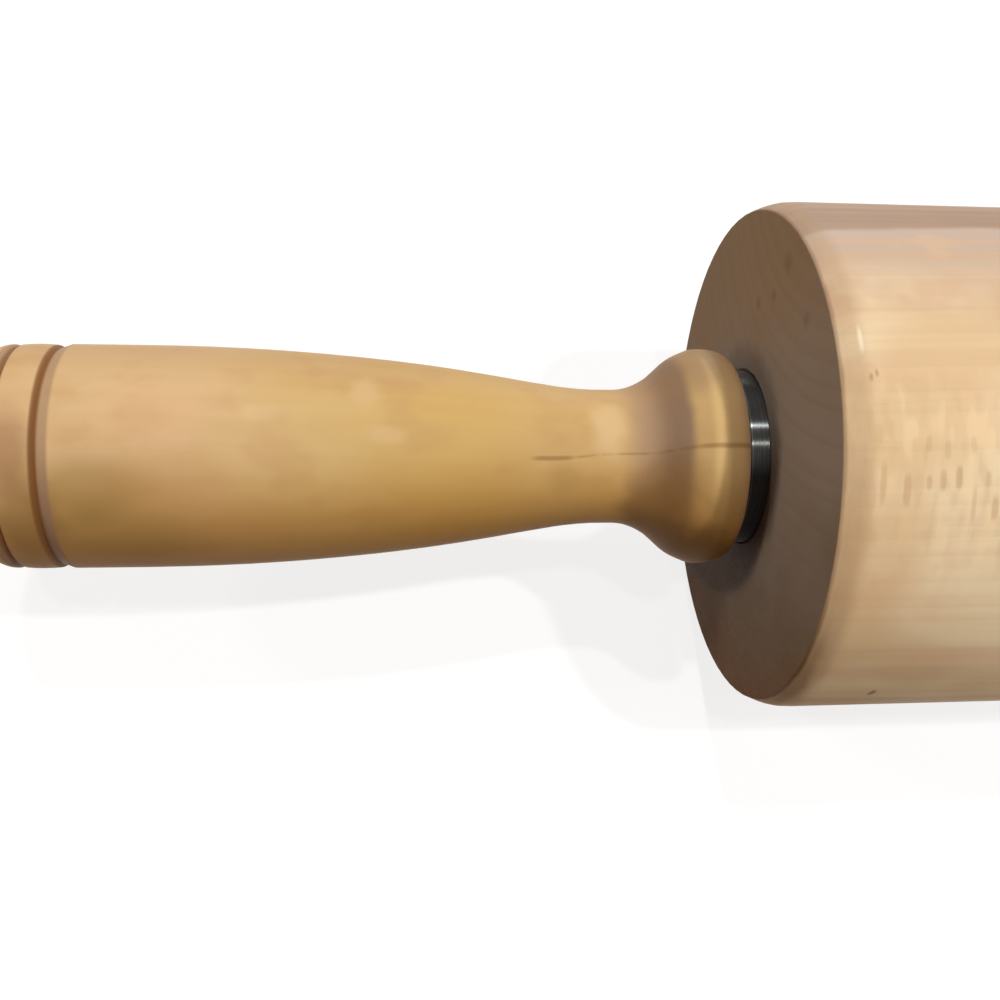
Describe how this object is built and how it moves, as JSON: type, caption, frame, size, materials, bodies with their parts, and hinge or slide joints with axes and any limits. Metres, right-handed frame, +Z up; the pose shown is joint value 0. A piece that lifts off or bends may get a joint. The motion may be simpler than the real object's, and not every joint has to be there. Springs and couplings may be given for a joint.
{
  "type": "baker's rolling pin",
  "caption": "Baker's rolling pin: a straight wooden barrel turns on ball bearings about a steel rod that carries waisted, turned wooden handles.",
  "frame": {"origin": "middle of the barrel, on the axis of the rod", "axes": "+X along the pin, from the left handle to the right handle; +Z up; the barrel rests on -Z"},
  "size_m": [0.628, 0.0826, 0.0826],
  "materials": {
    "barrel_maple": "oiled hard maple, satin",
    "handle_maple": "varnished maple with burnt grooves",
    "bearing_steel": "ground and polished bearing steel",
    "pressed_steel": "pressed sheet steel",
    "rod_steel": "bright drawn steel bar",
    "plated_steel": "zinc-plated steel",
    "nylon": "natural nylon"
  },
  "bodies": {
    "handles_and_rod": {"rod": "rod_steel", "right_bearing_inner_ring": "bearing_steel", "right_spacer_washer": "plated_steel", "right_handle": "handle_maple", "right_nut_washer": "plated_steel", "right_lock_nut": "plated_steel", "right_lock_ring": "nylon", "right_end_plug": "handle_maple", "left_bearing_inner_ring": "bearing_steel", "left_spacer_washer": "plated_steel", "left_handle": "handle_maple", "left_nut_washer": "plated_steel", "left_lock_nut": "plated_steel", "left_lock_ring": "nylon", "left_end_plug": "handle_maple"},
    "barrel": {"barrel": "barrel_maple", "right_bearing_outer_ring": "bearing_steel", "right_bearing_outboard_shield": "pressed_steel", "right_bearing_inboard_shield": "pressed_steel", "left_bearing_outer_ring": "bearing_steel", "left_bearing_outboard_shield": "pressed_steel", "left_bearing_inboard_shield": "pressed_steel"},
    "left_ball_set": {"left_bearing_balls": "bearing_steel", "left_cage_outboard_half": "pressed_steel", "left_cage_inboard_half": "pressed_steel", "left_cage_rivets": "pressed_steel"},
    "right_ball_set": {"right_bearing_balls": "bearing_steel", "right_cage_outboard_half": "pressed_steel", "right_cage_inboard_half": "pressed_steel", "right_cage_rivets": "pressed_steel"}
  },
  "joints": [
    {"name": "barrel_spin", "type": "hinge", "parent": "handles_and_rod", "child": "barrel", "pos_m": [0, 0, 0], "axis": [1, 0, 0], "continuous": true},
    {"name": "right_balls_roll", "type": "hinge", "parent": "handles_and_rod", "child": "right_ball_set", "pos_m": [0.18963, 0, 0], "axis": [1, 0, 0], "continuous": true},
    {"name": "left_balls_roll", "type": "hinge", "parent": "handles_and_rod", "child": "left_ball_set", "pos_m": [-0.18963, 0, 0], "axis": [1, 0, 0], "continuous": true}
  ],
  "couplings": [
    {"joint": "right_balls_roll", "follows": "barrel_spin", "ratio": 0.61538},
    {"joint": "left_balls_roll", "follows": "barrel_spin", "ratio": 0.61538}
  ]
}
